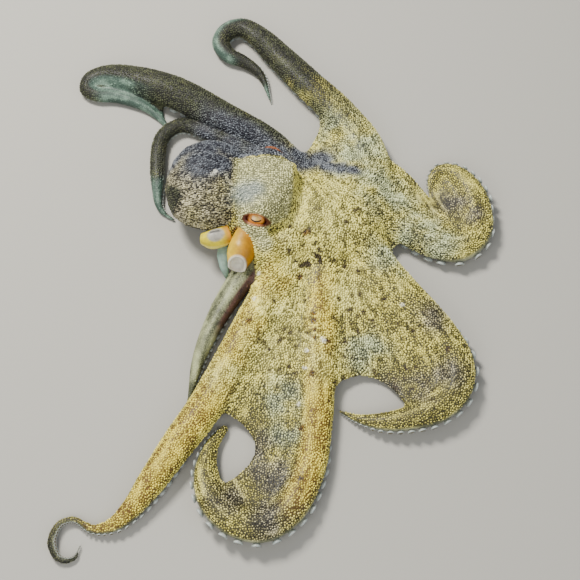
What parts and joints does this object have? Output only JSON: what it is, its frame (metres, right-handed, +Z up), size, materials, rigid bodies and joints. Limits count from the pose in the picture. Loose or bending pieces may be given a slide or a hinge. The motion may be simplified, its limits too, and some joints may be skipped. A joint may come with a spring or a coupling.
{
  "type": "octopus",
  "caption": "Still life-size common octopus crawling over flat ground, arms spread and curled, warty mottled skin, one golden eye and an orange funnel showing.",
  "frame": {"origin": "on the ground under the middle of the whole animal's bounding box", "axes": "+Z up; +X the way the head faces, from mantle to crown; +Y the animal's left, along the longest extent of the spread arms"},
  "size_m": [0.4384, 0.6124, 0.067],
  "materials": {
    "skin": "wet, soft, covered in small pale granules with dark furrows between them",
    "eye": "wet golden iris with a dark slit pupil under a clear cornea",
    "funnel": "smooth wet orange and yellow flesh with a pale rim"
  },
  "bodies": {
    "root": {"head": "skin", "mantle": "skin", "crown": "skin", "arm_l1_base": "skin", "arm_l1_mid": "skin", "arm_l1_far": "skin", "arm_l1_tip": "skin", "arm_l2_base": "skin", "arm_l2_mid": "skin", "arm_l2_far": "skin", "arm_l2_tip": "skin", "arm_l3_base": "skin", "arm_l3_mid": "skin", "arm_l3_far": "skin", "arm_l3_tip": "skin", "arm_l4_base": "skin", "arm_l4_mid": "skin", "arm_l4_far": "skin", "arm_l4_tip": "skin", "arm_r1_base": "skin", "arm_r1_mid": "skin", "arm_r1_far": "skin", "arm_r1_tip": "skin", "arm_r2_base": "skin", "arm_r2_mid": "skin", "arm_r2_far": "skin", "arm_r2_tip": "skin", "arm_r3_base": "skin", "arm_r3_mid": "skin", "arm_r3_far": "skin", "arm_r3_tip": "skin", "arm_r4_base": "skin", "arm_r4_mid": "skin", "arm_r4_far": "skin", "arm_r4_tip": "skin", "web_l1_l2": "skin", "web_l1_curl": "skin", "web_l2_l3": "skin", "web_r2_r3": "skin", "web_r1_r2": "skin", "web_l1_r1": "skin", "eye_left": "eye", "eye_right": "eye", "funnel": "funnel", "collar_lobe": "funnel"}
  },
  "joints": []
}
